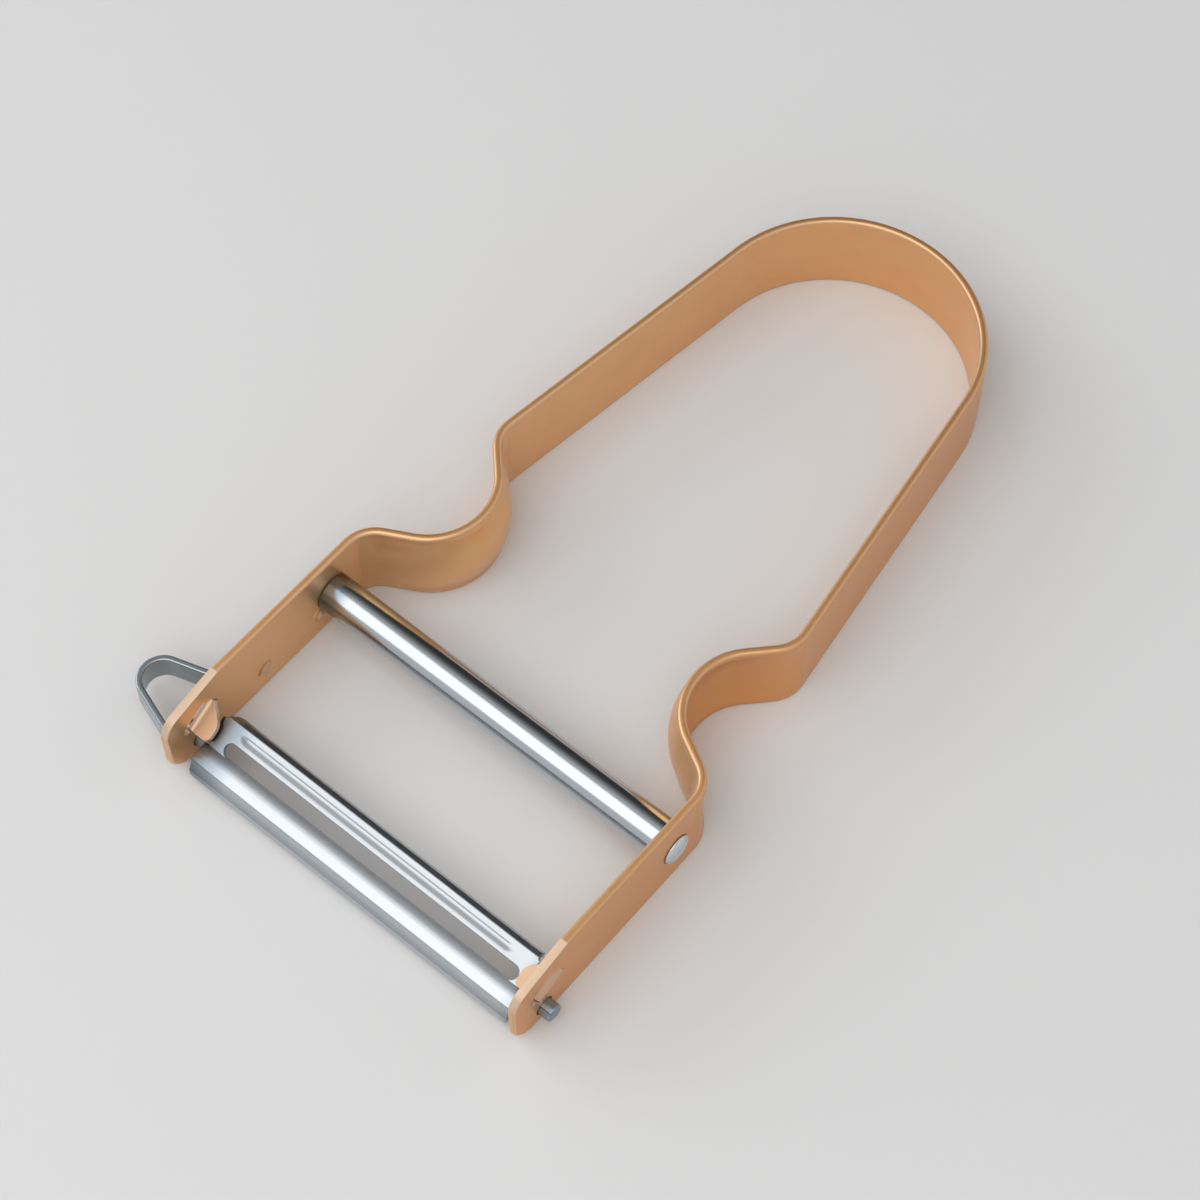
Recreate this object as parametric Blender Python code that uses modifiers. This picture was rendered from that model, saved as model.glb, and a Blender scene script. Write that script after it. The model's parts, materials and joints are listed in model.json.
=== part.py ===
"""Swivel-blade vegetable peeler with a bent strip handle.

It lies on the far edge of its strip, with the blade along X, the bow towards +Y and the
crowned side of the blade facing up. The empty peeler_datum stands on the swivel axis of the
blade, half way between the legs: every size below is measured from there, and the empty's
own place puts the middle of the whole peeler's footprint at the world origin.
"""
import math

import bmesh
import bpy
from mathutils import Matrix, Vector

# Clearance between pieces that touch on the real peeler
FIT = 0.0003

# Strip that the handle is bent from
STRIP_WIDTH = 0.0125
STRIP_THICKNESS = 0.0011
STRIP_EDGE_ROUND = 0.0003

# Centreline of the bent strip, one side; the other side mirrors it
LEG_HALF_SPAN = 0.0266
LEG_BEND_Y = 0.02957
LEG_BEND_RADIUS = 0.0045
HOLLOW_HALF_WIDTH = 0.0114
HOLLOW_Y = 0.03779
HOLLOW_RADIUS = 0.0084
SHOULDER_HALF_WIDTH = 0.0231
SHOULDER_Y = 0.05007
SHOULDER_RADIUS = 0.0045
BOW_CENTRE_Y = 0.08795
BOW_RADIUS = 0.01793
HOLLOW_CROWN = 0.0011
CROWN_BORDER = 0.0010

# Shaped end of each leg, as heights and reaches in the leg's own plane
TAPER_START_Y = 0.0042
TIP_REACH = 0.0052
TIP_SHOULDER_HEIGHT = 0.0099
TIP_LEAN = 0.0003
TIP_SHOULDER_RADIUS = 0.0018
TIP_TOE_RADIUS = 0.0032

# Swivel of the blade
PIVOT_HEIGHT = 0.0025
JOURNAL_RADIUS = 0.00116
JOURNAL_STAND_OUT = 0.0014
JOURNAL_LENGTH_INSIDE = 0.0024
JOURNAL_END_ROUND = 0.0003
SADDLE_INSET = 0.0002
REST_TILT = math.radians(30)

# Blade, stamped from one sheet; U runs from the lip to the back, W stands up from the plate
PLATE_THICKNESS = 0.0006
PLATE_OFFSET = 0.00225
BLADE_END_GAP = 0.00135
BACK_U = 0.00430
HEM_RADIUS = 0.0004
HEM_DEPTH = 0.0009
SLOT_NEAR_U = 0.00028
SLOT_FAR_U = 0.00214
SLOT_LEFT_GAP = 0.0044
SLOT_RIGHT_GAP = 0.0027
CROWN_U = -0.0013
CROWN_RISE = 0.00045
CREASE_U = -0.00235
CREASE_RISE = 0.00022
LIP_ROOT_U = -0.00368
LIP_DROP = 0.00090
LIP_U = -0.00418
LIP_END_DROP = 0.00100
LIP_CORNER_CUT = 0.0009
BACK_CORNER_CUT = 0.0005
BEAD_U = 0.00338
BEAD_HALF_WIDTH = 0.00048
BEAD_RISE = 0.00024
BEAD_END_GAP = 0.0053

# Stop ear, lanced from each leg and bent in over the blade
EAR_THICKNESS = 0.0008
EAR_REACH = 0.00245
EAR_LOW_U = 0.00050
EAR_HIGH_U = 0.00505
EAR_SLOPE_U = 0.0029
EAR_ROOT_STEP = 0.0002
EAR_SIDE_GAP = 0.00012
EAR_ROOT_DEPTH = 0.0003
EAR_ROOT_INSET = 0.00005
EAR_BEND_RADIUS = 0.0014
EAR_SMALL_RADIUS = 0.0008
EAR_LARGE_RADIUS = 0.0018
WINDOW_RISE = 0.0018
WINDOW_HIGH_U = 0.0041
WINDOW_CORNER_RADIUS = 0.0008
RELIEF_RADIUS = 0.00065
RELIEF_RISE = 0.0009

# Crossbar and the long rivet that holds it between the legs
BAR_Y = 0.02323
BAR_RADIUS = 0.00256
RIVET_RADIUS = 0.0014
RIVET_HEAD_RADIUS = 0.0020
RIVET_HEAD_RISE = 0.0009

# Side loop for digging out potato eyes, bent from a narrow steel strip
LOOP_WIDTH = 0.00385
LOOP_THICKNESS = 0.0008
LOOP_HEIGHT = 0.00403
LOOP_TOP_Y = 0.0064
LOOP_LOW_Y = -0.0032
LOOP_REACH = 0.00915
LOOP_NOSE_RADIUS = 0.0028
LOOP_ROOT_RADIUS = 0.0009
LOOP_END_GAP = 0.0004
LUG_RADIUS = 0.0027
CLINCH_Y = (0.0109, 0.0208)
CLINCH_RADIUS = 0.0011
CLINCH_RISE = 0.00045
CLINCH_BALL_RATIO = 0.55

# Facets
ROUND_STEP = math.radians(8)
PIN_SIDES = 24
BALL_RINGS = 8

# Values that follow from the sizes above
INNER_FACE_X = LEG_HALF_SPAN - STRIP_THICKNESS / 2
OUTER_FACE_X = LEG_HALF_SPAN + STRIP_THICKNESS / 2
BLADE_HALF_LENGTH = INNER_FACE_X - BLADE_END_GAP
EAR_BASE_W = PLATE_OFFSET + FIT
EAR_TOP_W = EAR_BASE_W + EAR_THICKNESS
EAR_BEND_W = EAR_TOP_W - EAR_BEND_RADIUS
JOURNAL_END_X = OUTER_FACE_X + JOURNAL_STAND_OUT
BAR_HEIGHT = STRIP_WIDTH / 2
LOOP_FACE_X = -(OUTER_FACE_X + FIT + LOOP_THICKNESS / 2)
LOOP_APEX_X = -(OUTER_FACE_X + LOOP_REACH)
BOW_TOP_Y = BOW_CENTRE_Y + BOW_RADIUS + STRIP_THICKNESS / 2
FOOTPRINT_LEFT = LOOP_APEX_X - LOOP_THICKNESS / 2
FOOTPRINT_RIGHT = JOURNAL_END_X

PARTS_COLLECTION = "vegetable_peeler"
CUTTER_COLLECTION = "vegetable_peeler_cutters"


def clear_scene():
    for old in list(bpy.data.objects):
        bpy.data.objects.remove(old, do_unlink=True)
    for old in list(bpy.data.collections):
        bpy.data.collections.remove(old)


def new_collection(name):
    made = bpy.data.collections.new(name)
    bpy.context.scene.collection.children.link(made)
    return made


def new_material(name, colour, metallic, roughness):
    made = bpy.data.materials.new(name)
    made.use_nodes = True
    shader = made.node_tree.nodes["Principled BSDF"]
    shader.inputs["Base Color"].default_value = (*colour, 1.0)
    shader.inputs["Metallic"].default_value = metallic
    shader.inputs["Roughness"].default_value = roughness
    made.diffuse_color = (*colour, 1.0)
    return made


def add_object(name, mesh, collection, parent):
    made = bpy.data.objects.new(name, mesh)
    collection.objects.link(made)
    made.parent = parent
    return made


def as_helper(obj):
    """Mark a cutter or an added form, which shapes a part and isn't one itself."""
    obj.hide_render = True
    obj.display_type = "WIRE"
    return obj


def boolean(target, helper, operation):
    mod = target.modifiers.new(f"{operation.lower()}_{helper.name}", "BOOLEAN")
    mod.operation = operation
    mod.object = helper
    mod.solver = "EXACT"


def corner_path(corners, closed=False):
    """Points of a path through (a, b, radius) corners, each rounded by an arc."""
    points = []
    count = len(corners)
    for index, (a, b, radius) in enumerate(corners):
        here = Vector((a, b))
        if not closed and index in (0, count - 1) or radius == 0:
            points.append(here)
            continue
        back = Vector(corners[index - 1][:2]) - here
        ahead = Vector(corners[(index + 1) % count][:2]) - here
        back.normalize()
        ahead.normalize()
        half = math.acos(max(-1.0, min(1.0, back.dot(ahead)))) / 2
        centre = here + (back + ahead).normalized() * (radius / math.sin(half))
        start = here + back * (radius / math.tan(half)) - centre
        sweep = math.pi - 2 * half
        if start.cross(-back) < 0:
            sweep = -sweep
        steps = max(2, math.ceil(abs(sweep) / ROUND_STEP))
        for step in range(steps + 1):
            turn = Matrix.Rotation(sweep * step / steps, 2)
            points.append(centre + turn @ start)
    return points


def flat_plate(name, outline, thickness, frame, helpers, parent):
    """A plate of the given outline, centred on its plane, placed by the 4x4 matrix frame."""
    curve = bpy.data.curves.new(name, "CURVE")
    curve.dimensions = "2D"
    curve.fill_mode = "BOTH"
    curve.extrude = thickness / 2
    spline = curve.splines.new("POLY")
    spline.points.add(len(outline) - 1)
    for point, (a, b) in zip(spline.points, outline):
        point.co = (a, b, 0.0, 1.0)
    spline.use_cyclic_u = True
    drawn = bpy.data.objects.new(name, curve)
    helpers.objects.link(drawn)
    bpy.context.view_layer.update()
    seen = drawn.evaluated_get(bpy.context.evaluated_depsgraph_get())
    mesh = bpy.data.meshes.new_from_object(seen)
    bpy.data.objects.remove(drawn, do_unlink=True)
    bpy.data.curves.remove(curve)
    shape = bmesh.new()
    shape.from_mesh(mesh)
    bmesh.ops.remove_doubles(shape, verts=shape.verts, dist=0.000001)
    bmesh.ops.transform(shape, matrix=frame, verts=shape.verts)
    bmesh.ops.recalc_face_normals(shape, faces=shape.faces)
    shape.to_mesh(mesh)
    shape.free()
    return as_helper(add_object(name, mesh, helpers, parent))


def cylinder_along_x(name, radius, start_x, end_x, centre, helpers, parent):
    bpy.ops.mesh.primitive_cylinder_add(
        vertices=PIN_SIDES, radius=radius, depth=abs(end_x - start_x), location=(0.0, 0.0, 0.0))
    made = bpy.context.object
    made.name = name
    made.data.transform(Matrix.Rotation(math.pi / 2, 4, "Y"))
    made.data.transform(Matrix.Translation(((start_x + end_x) / 2, *centre)))
    for owner in list(made.users_collection):
        owner.objects.unlink(made)
    helpers.objects.link(made)
    made.parent = parent
    return as_helper(made)


def swept_surface(path, heights, place):
    """An open surface: the path is drawn once and extruded row by row up the heights."""
    shape = bmesh.new()
    row = [shape.verts.new(place(index, heights[0])) for index in range(len(path))]
    edges = [shape.edges.new(pair) for pair in zip(row, row[1:])]
    for height in heights[1:]:
        grown = bmesh.ops.extrude_edge_only(shape, edges=edges)
        verts = {item for item in grown["geom"] if isinstance(item, bmesh.types.BMVert)}
        edges = [item for item in grown["geom"]
                 if isinstance(item, bmesh.types.BMEdge)
                 and item.verts[0] in verts and item.verts[1] in verts]
        last = dict(zip(row, range(len(row))))
        new_row = [None] * len(row)
        for vert in verts:
            for edge in vert.link_edges:
                other = edge.other_vert(vert)
                if other in last:
                    new_row[last[other]] = vert
        for index, vert in enumerate(new_row):
            vert.co = place(index, height)
        row = new_row
    bmesh.ops.recalc_face_normals(shape, faces=shape.faces)
    mesh = bpy.data.meshes.new("swept")
    shape.to_mesh(mesh)
    shape.free()
    return mesh


def thicken(obj, thickness, edge_round=0.0, segments=2):
    solid = obj.modifiers.new("thickness", "SOLIDIFY")
    solid.thickness = thickness
    solid.offset = 0.0
    solid.use_even_offset = True
    if edge_round > 0:
        soft = obj.modifiers.new("edge_round", "BEVEL")
        soft.width = edge_round
        soft.segments = segments
        soft.limit_method = "ANGLE"
        soft.angle_limit = math.radians(50)


def finish_part(obj, name, material):
    obj.name = name
    obj.data.name = name
    obj.data.materials.clear()
    obj.data.materials.append(material)
    obj.data.shade_smooth()
    obj.data.set_sharp_from_angle(angle=math.radians(20))


def handle_half_path():
    """Centreline of the right half, from the tip of the leg to the top of the bow."""
    shoulder = Vector((SHOULDER_HALF_WIDTH, SHOULDER_Y))
    to_centre = Vector((0.0, BOW_CENTRE_Y)) - shoulder
    lean = math.asin(BOW_RADIUS / to_centre.length)
    along = Matrix.Rotation(-lean, 2) @ to_centre.normalized()
    touch = shoulder + along * math.sqrt(to_centre.length ** 2 - BOW_RADIUS ** 2)
    points = corner_path([
        (LEG_HALF_SPAN, -TIP_REACH - STRIP_WIDTH, 0.0),
        (LEG_HALF_SPAN, LEG_BEND_Y, LEG_BEND_RADIUS),
        (HOLLOW_HALF_WIDTH, HOLLOW_Y, HOLLOW_RADIUS),
        (SHOULDER_HALF_WIDTH, SHOULDER_Y, SHOULDER_RADIUS),
        (touch.x, touch.y, 0.0),
    ])
    start = math.atan2(touch.y - BOW_CENTRE_Y, touch.x)
    steps = math.ceil((math.pi / 2 - start) / ROUND_STEP)
    for step in range(1, steps + 1):
        angle = start + (math.pi / 2 - start) * step / steps
        points.append(Vector((BOW_RADIUS * math.cos(angle),
                              BOW_CENTRE_Y + BOW_RADIUS * math.sin(angle))))
    return points


def crown_share(y):
    """How far the strip is crowned at y: none on the legs and arms, all in the hollow."""
    low = LEG_BEND_Y - LEG_BEND_RADIUS / 3
    high = SHOULDER_Y + SHOULDER_RADIUS / 3
    place = (y - low) / (high - low)
    if place <= 0 or place >= 1:
        return 0.0
    return math.sin(math.pi * place) ** 0.7


def leg_end_outline():
    """Outline of what is cut away round a leg's end, in the leg's own (y, z) plane."""
    margin = STRIP_WIDTH
    toe = -TIP_REACH + TIP_LEAN
    outline = corner_path([
        (TAPER_START_Y + margin * 4, STRIP_WIDTH + margin / 20, 0.0),
        (TAPER_START_Y, STRIP_WIDTH, 0.0),
        (-TIP_REACH, TIP_SHOULDER_HEIGHT, TIP_SHOULDER_RADIUS),
        (toe, 0.0, TIP_TOE_RADIUS),
        (TAPER_START_Y, 0.0, 0.0),
    ])
    outline = outline[1:-1]
    first = outline[0]
    last = outline[-1]
    return ([Vector((first.x, STRIP_WIDTH + margin))] + outline
            + [Vector((last.x, -margin)), Vector((-TIP_REACH - margin * 2, -margin)),
               Vector((-TIP_REACH - margin * 2, STRIP_WIDTH + margin))])


def plane_across(side):
    """Frame of a plane square to X: first axis +Y, second axis +Z, at a leg's middle."""
    return Matrix(((0, 0, 1, side * LEG_HALF_SPAN), (1, 0, 0, 0), (0, 1, 0, 0), (0, 0, 0, 1)))


def blade_frame():
    """Frame of the blade at rest: first axis X, second axis U, third axis W."""
    tilt = Matrix.Rotation(REST_TILT, 4, "X")
    return Matrix.Translation((0.0, 0.0, PIVOT_HEIGHT)) @ tilt


def ear_outline(side):
    """Outline of a stop ear seen along W, in the blade's (x, u) plane, root well outside."""
    root_x = OUTER_FACE_X + STRIP_THICKNESS
    nose_x = INNER_FACE_X - EAR_REACH
    step_x = INNER_FACE_X - EAR_ROOT_STEP
    corners = [
        (root_x, EAR_LOW_U, 0.0),
        (root_x, EAR_HIGH_U, 0.0),
        (step_x, EAR_HIGH_U, EAR_SMALL_RADIUS / 4),
        (nose_x, EAR_SLOPE_U, EAR_LARGE_RADIUS),
        (nose_x, EAR_LOW_U, EAR_SMALL_RADIUS),
    ]
    return [(side * p.x, p.y) for p in corner_path(corners, closed=True)]


def ear_section(side):
    """Section of a stop ear and its bend, in the blade's (x, w) plane."""
    outer = OUTER_FACE_X - EAR_ROOT_INSET
    inner = INNER_FACE_X + EAR_ROOT_INSET
    nose_x = INNER_FACE_X - EAR_REACH - STRIP_THICKNESS
    low_w = EAR_BEND_W - EAR_ROOT_DEPTH
    corners = [
        (outer, low_w, 0.0),
        (outer, EAR_TOP_W, EAR_BEND_RADIUS),
        (nose_x, EAR_TOP_W, 0.0),
        (nose_x, EAR_BASE_W, 0.0),
        (inner, EAR_BASE_W, 0.0),
        (inner, low_w, 0.0),
    ]
    return [(side * p.x, p.y) for p in corner_path(corners, closed=True)]


def window_outline():
    """Outline of the hole that the ear leaves, in the blade's (u, w) plane."""
    low = EAR_LOW_U - EAR_SIDE_GAP
    high = EAR_HIGH_U + EAR_SIDE_GAP
    return corner_path([
        (low, EAR_BEND_W, 0.0),
        (high, EAR_BEND_W, 0.0),
        (high, EAR_BASE_W + EAR_THICKNESS / 2, 0.0),
        (WINDOW_HIGH_U, EAR_TOP_W + WINDOW_RISE, WINDOW_CORNER_RADIUS),
        (low, EAR_TOP_W + WINDOW_RISE, WINDOW_CORNER_RADIUS / 3),
    ], closed=True)


def make_handle_frame(parts, helpers, datum, material):
    half = handle_half_path()
    path = [Vector((-p.x, p.y)) for p in half] + half[-2::-1]
    normals = []
    for index in range(len(path)):
        ahead = path[min(index + 1, len(path) - 1)] - path[max(index - 1, 0)]
        normals.append(Vector((ahead.y, -ahead.x)).normalized())

    def place(index, height):
        across = min(1.0, abs(height - STRIP_WIDTH / 2) / (STRIP_WIDTH / 2 - CROWN_BORDER))
        rise = HOLLOW_CROWN * crown_share(path[index].y) * (1 - across * across)
        spot = path[index] + normals[index] * rise
        return Vector((spot.x, spot.y, height))

    rows = 4
    crowned = STRIP_WIDTH - 2 * CROWN_BORDER
    heights = [0.0] + [CROWN_BORDER + crowned * row / rows for row in range(rows + 1)]
    heights.append(STRIP_WIDTH)
    frame = add_object("handle_frame", swept_surface(path, heights, place), parts, datum)
    thicken(frame, STRIP_THICKNESS, STRIP_EDGE_ROUND)

    tip = flat_plate("leg_end_cutter", leg_end_outline(), 4 * OUTER_FACE_X,
                     plane_across(0), helpers, datum)
    boolean(frame, tip, "DIFFERENCE")

    across_pin = blade_frame() @ Matrix(((0, 0, 1, 0), (1, 0, 0, 0), (0, 1, 0, 0), (0, 0, 0, 1)))
    window = flat_plate("window_cutter", window_outline(), 4 * OUTER_FACE_X,
                        across_pin, helpers, datum)
    boolean(frame, window, "DIFFERENCE")

    relief = blade_frame() @ Vector((0.0, EAR_LOW_U, EAR_TOP_W + RELIEF_RISE))
    hole_end = 2 * OUTER_FACE_X
    for label, radius, spot in (
            ("relief", RELIEF_RADIUS, (relief.y, relief.z)),
            ("pivot", JOURNAL_RADIUS + FIT, (0.0, PIVOT_HEIGHT)),
            ("rivet", RIVET_RADIUS + FIT, (BAR_Y, BAR_HEIGHT))):
        hole = cylinder_along_x(f"{label}_hole_cutter", radius, -hole_end, hole_end, spot,
                                helpers, datum)
        boolean(frame, hole, "DIFFERENCE")

    across_blade = Matrix(((1, 0, 0, 0), (0, 0, -1, 0), (0, 1, 0, 0), (0, 0, 0, 1)))
    for side, label in ((-1, "left"), (1, "right")):
        middle = Matrix.Translation((0.0, (EAR_LOW_U + EAR_HIGH_U) / 2, 0.0))
        ear = flat_plate(f"{label}_ear_form", ear_section(side), 2 * EAR_HIGH_U,
                         blade_frame() @ middle @ across_blade, helpers, datum)
        lift = Matrix.Translation((0.0, 0.0, EAR_TOP_W))
        trim = flat_plate(f"{label}_ear_trim_form", ear_outline(side), 4 * EAR_TOP_W,
                          blade_frame() @ lift, helpers, datum)
        boolean(ear, trim, "INTERSECT")
        boolean(frame, ear, "UNION")

    for index, y in enumerate(CLINCH_Y):
        dome = clinch_ball(f"clinch_dome_form_{index + 1}", CLINCH_RADIUS, CLINCH_RISE,
                           -INNER_FACE_X, y, helpers, datum)
        boolean(frame, dome, "UNION")
        dent = clinch_ball(f"clinch_dent_cutter_{index + 1}",
                           CLINCH_RADIUS * CLINCH_BALL_RATIO + FIT, CLINCH_RISE + FIT / 2,
                           -OUTER_FACE_X, y, helpers, datum)
        boolean(frame, dent, "DIFFERENCE")
    finish_part(frame, "handle_frame", material)
    return frame


def clinch_ball(name, radius, rise, face_x, y, helpers, parent):
    """A low dome of the given radius that stands rise proud of a leg's face, towards +X."""
    bpy.ops.mesh.primitive_uv_sphere_add(
        segments=PIN_SIDES // 2, ring_count=BALL_RINGS, radius=radius, location=(0.0, 0.0, 0.0))
    made = bpy.context.object
    made.name = name
    made.data.transform(Matrix.Rotation(math.pi / 2, 4, "Y"))
    made.data.transform(Matrix.Diagonal((rise / radius, 1.0, 1.0, 1.0)))
    made.data.transform(Matrix.Translation((face_x, y, LOOP_HEIGHT)))
    for owner in list(made.users_collection):
        owner.objects.unlink(made)
    helpers.objects.link(made)
    made.parent = parent
    return as_helper(made)


def make_crossbar(parts, helpers, datum, material):
    """A polished tube that spaces the legs, held by the long rivet through it."""
    half = INNER_FACE_X - FIT
    bar = cylinder_along_x("crossbar", BAR_RADIUS, -half, half, (BAR_Y, BAR_HEIGHT),
                           parts, datum)
    bar.hide_render = False
    bar.display_type = "TEXTURED"
    bore = cylinder_along_x("crossbar_bore_cutter", RIVET_RADIUS + FIT, -2 * half, 2 * half,
                            (BAR_Y, BAR_HEIGHT), helpers, datum)
    boolean(bar, bore, "DIFFERENCE")
    finish_part(bar, "crossbar", material)
    return bar


def make_crossbar_rivet(parts, datum, material):
    """A turned rivet: plain shank, and a low domed head outside each leg."""
    right_seat = OUTER_FACE_X + FIT
    left_seat = OUTER_FACE_X + 2 * FIT + LOOP_THICKNESS
    profile = []
    dome_steps = 4
    for step in range(dome_steps + 1):
        angle = math.pi / 2 * step / dome_steps
        profile.append((RIVET_HEAD_RADIUS * math.sin(angle),
                        right_seat + RIVET_HEAD_RISE * math.cos(angle)))
    profile.append((RIVET_RADIUS, right_seat))
    profile.append((RIVET_RADIUS, -left_seat))
    for step in range(dome_steps + 1):
        angle = math.pi / 2 * (1 - step / dome_steps)
        profile.append((RIVET_HEAD_RADIUS * math.sin(angle),
                        -left_seat - RIVET_HEAD_RISE * math.cos(angle)))
    shape = bmesh.new()
    row = [shape.verts.new((radius, 0.0, height)) for radius, height in profile]
    for pair in zip(row, row[1:]):
        shape.edges.new(pair)
    mesh = bpy.data.meshes.new("crossbar_rivet")
    shape.to_mesh(mesh)
    shape.free()
    rivet = add_object("crossbar_rivet", mesh, parts, datum)
    rivet.location = (0.0, BAR_Y, BAR_HEIGHT)
    rivet.rotation_euler = (0.0, math.pi / 2, 0.0)
    turn = rivet.modifiers.new("turning", "SCREW")
    turn.steps = PIN_SIDES
    turn.render_steps = PIN_SIDES
    turn.use_merge_vertices = True
    turn.merge_threshold = 0.00001
    finish_part(rivet, "crossbar_rivet", material)
    return rivet


def blade_section():
    """Outer face of the blade across its length, as (u, w) from the lip to the hem."""
    steps = 8
    middle_u = CROWN_U
    crown = []
    for step in range(steps + 1):
        u = CREASE_U + (SLOT_NEAR_U - CREASE_U) * step / steps
        span = (SLOT_NEAR_U if u > middle_u else CREASE_U) - middle_u
        share = (u - middle_u) / span
        floor = 0.0 if u > middle_u else CREASE_RISE
        crown.append((u, floor + (CROWN_RISE - floor) * (1 - share * share)))
    hem = []
    hem_steps = 3
    for step in range(hem_steps + 1):
        angle = math.pi / 2 * step / hem_steps
        hem.append((BACK_U + HEM_RADIUS * math.sin(angle),
                    -HEM_RADIUS * (1 - math.cos(angle))))
    return ([(LIP_U, -LIP_END_DROP), (LIP_ROOT_U, -LIP_DROP)] + crown
            + [(SLOT_FAR_U, 0.0)] + hem + [(BACK_U + HEM_RADIUS, -HEM_DEPTH)])


def make_blade(parts, helpers, datum, material):
    """The swivelling blade; its own origin is on the swivel axis."""
    middle = PLATE_OFFSET - PLATE_THICKNESS / 2
    section = [Vector((u, middle + w)) for u, w in blade_section()]

    def place(index, x):
        return Vector((x, section[index].x, section[index].y))

    ends = (-BLADE_HALF_LENGTH, BLADE_HALF_LENGTH)
    blade = add_object("blade", swept_surface(section, ends, place), parts, datum)
    blade.location = (0.0, 0.0, PIVOT_HEIGHT)
    blade.rotation_euler = (REST_TILT, 0.0, 0.0)
    thicken(blade, PLATE_THICKNESS)

    left = SLOT_LEFT_GAP - INNER_FACE_X
    right = INNER_FACE_X - SLOT_RIGHT_GAP
    slot_radius = (SLOT_FAR_U - SLOT_NEAR_U) / 2 - FIT / 10
    slot_outline = corner_path([
        (left, SLOT_NEAR_U, slot_radius), (right, SLOT_NEAR_U, slot_radius),
        (right, SLOT_FAR_U, slot_radius), (left, SLOT_FAR_U, slot_radius),
    ], closed=True)
    lift = Matrix.Translation((0.0, 0.0, PLATE_OFFSET))
    slot = flat_plate("slot_cutter", slot_outline, 4 * PLATE_OFFSET / 3, lift, helpers, blade)
    boolean(blade, slot, "DIFFERENCE")

    back_edge = BACK_U + HEM_RADIUS + PLATE_THICKNESS / 2
    for name, side, u, away, cut in (
            ("left_lip", -1, LIP_U, -1, LIP_CORNER_CUT),
            ("right_lip", 1, LIP_U, -1, LIP_CORNER_CUT),
            ("left_back", -1, back_edge, 1, BACK_CORNER_CUT),
            ("right_back", 1, back_edge, 1, BACK_CORNER_CUT)):
        x = side * BLADE_HALF_LENGTH
        reach = cut * 3
        outline = [
            (x - side * cut, u + away * reach), (x - side * cut, u),
            (x - side * cut * 0.35, u - away * cut * 0.45),
            (x, u - away * cut * 1.3), (x + side * reach, u - away * cut * 1.3),
            (x + side * reach, u + away * reach)]
        corner = flat_plate(f"{name}_corner_cutter", outline, 4 * PLATE_OFFSET, lift,
                            helpers, blade)
        boolean(blade, corner, "DIFFERENCE")

    bead_half = INNER_FACE_X - BEAD_END_GAP
    bpy.ops.mesh.primitive_cylinder_add(
        vertices=12, radius=BEAD_HALF_WIDTH, depth=2 * bead_half, location=(0.0, 0.0, 0.0))
    bead = bpy.context.object
    bead.name = "bead_form"
    bead.data.transform(Matrix.Rotation(math.pi / 2, 4, "Y"))
    bead.data.transform(Matrix.Diagonal((1.0, 1.0, BEAD_RISE / BEAD_HALF_WIDTH, 1.0)))
    bead.data.transform(Matrix.Translation((0.0, BEAD_U, PLATE_OFFSET)))
    for owner in list(bead.users_collection):
        owner.objects.unlink(bead)
    helpers.objects.link(bead)
    bead.parent = blade
    boolean(blade, as_helper(bead), "UNION")
    for side, label in ((-1, "left"), (1, "right")):
        bpy.ops.mesh.primitive_uv_sphere_add(
            segments=12, ring_count=8, radius=BEAD_HALF_WIDTH, location=(0.0, 0.0, 0.0))
        cap = bpy.context.object
        cap.name = f"{label}_bead_end_form"
        cap.data.transform(Matrix.Rotation(math.pi / 2, 4, "Y"))
        cap.data.transform(Matrix.Diagonal((1.0, 0.96, 0.96 * BEAD_RISE / BEAD_HALF_WIDTH, 1.0)))
        cap.data.transform(Matrix.Translation((side * bead_half, BEAD_U, PLATE_OFFSET)))
        for owner in list(cap.users_collection):
            owner.objects.unlink(cap)
        helpers.objects.link(cap)
        cap.parent = blade
        boolean(blade, as_helper(cap), "UNION")

    saddle_outline = [
        (-JOURNAL_RADIUS * 0.8, JOURNAL_RADIUS * 0.3), (JOURNAL_RADIUS * 0.8, JOURNAL_RADIUS * 0.3),
        (JOURNAL_RADIUS * 0.6, PLATE_OFFSET - PLATE_THICKNESS / 2),
        (-JOURNAL_RADIUS, PLATE_OFFSET - PLATE_THICKNESS / 2)]
    for side, label in ((-1, "left"), (1, "right")):
        start = BLADE_HALF_LENGTH - JOURNAL_LENGTH_INSIDE
        journal = cylinder_along_x(f"{label}_journal_form", JOURNAL_RADIUS, side * start,
                                   side * JOURNAL_END_X, (0.0, 0.0), helpers, blade)
        soft = journal.modifiers.new("end_round", "BEVEL")
        soft.width = JOURNAL_END_ROUND
        soft.segments = 2
        soft.limit_method = "ANGLE"
        soft.angle_limit = math.radians(50)
        boolean(blade, journal, "UNION")
        saddle_x = side * (start + BLADE_HALF_LENGTH - SADDLE_INSET) / 2
        saddle_place = Matrix(((0, 0, 1, saddle_x), (1, 0, 0, 0), (0, 1, 0, 0), (0, 0, 0, 1)))
        saddle = flat_plate(f"{label}_saddle_form", saddle_outline,
                            JOURNAL_LENGTH_INSIDE - 3 * SADDLE_INSET, saddle_place,
                            helpers, blade)
        boolean(blade, saddle, "UNION")
    finish_part(blade, "blade", material)
    return blade


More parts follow.
